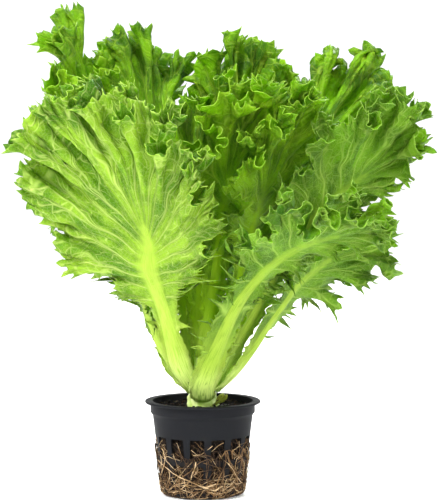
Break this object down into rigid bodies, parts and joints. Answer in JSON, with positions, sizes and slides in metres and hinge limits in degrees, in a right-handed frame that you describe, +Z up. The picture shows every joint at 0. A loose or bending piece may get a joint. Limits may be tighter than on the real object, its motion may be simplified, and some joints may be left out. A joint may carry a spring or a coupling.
{
  "type": "leaf lettuce in net pot",
  "caption": "Loose-leaf lettuce with frilled, fan-shaped leaves on a short stem, rooted in a slotted black net pot of peat with roots showing.",
  "frame": {"origin": "middle of the pot's foot, on the surface it stands on", "axes": "+Z up along the stem, -Y towards the front of the plant, +X to the viewer's right"},
  "size_m": [0.2096, 0.2275, 0.2537],
  "materials": {
    "leaf": "satin, slightly translucent",
    "seed_leaf": "satin",
    "stem": "satin",
    "black_plastic": "satin",
    "peat": "matte, moist",
    "root": "matte"
  },
  "bodies": {
    "root": {"leaf_heart": "leaf", "leaf_inner_back": "leaf", "leaf_inner_front": "leaf", "leaf_tall_centre": "leaf", "leaf_inner_right": "leaf", "leaf_crown_left": "leaf", "leaf_tip_left": "leaf", "leaf_crown_right": "leaf", "leaf_fan_right": "leaf", "leaf_back": "leaf", "leaf_low_left": "leaf", "leaf_front_left": "leaf", "leaf_low_right": "leaf", "leaf_low_back": "leaf", "leaf_low_back_left": "leaf", "leaf_front_right": "leaf", "seed_leaf": "seed_leaf", "stem": "stem", "net_pot": "black_plastic", "growing_medium": "peat", "roots": "root"}
  },
  "joints": []
}
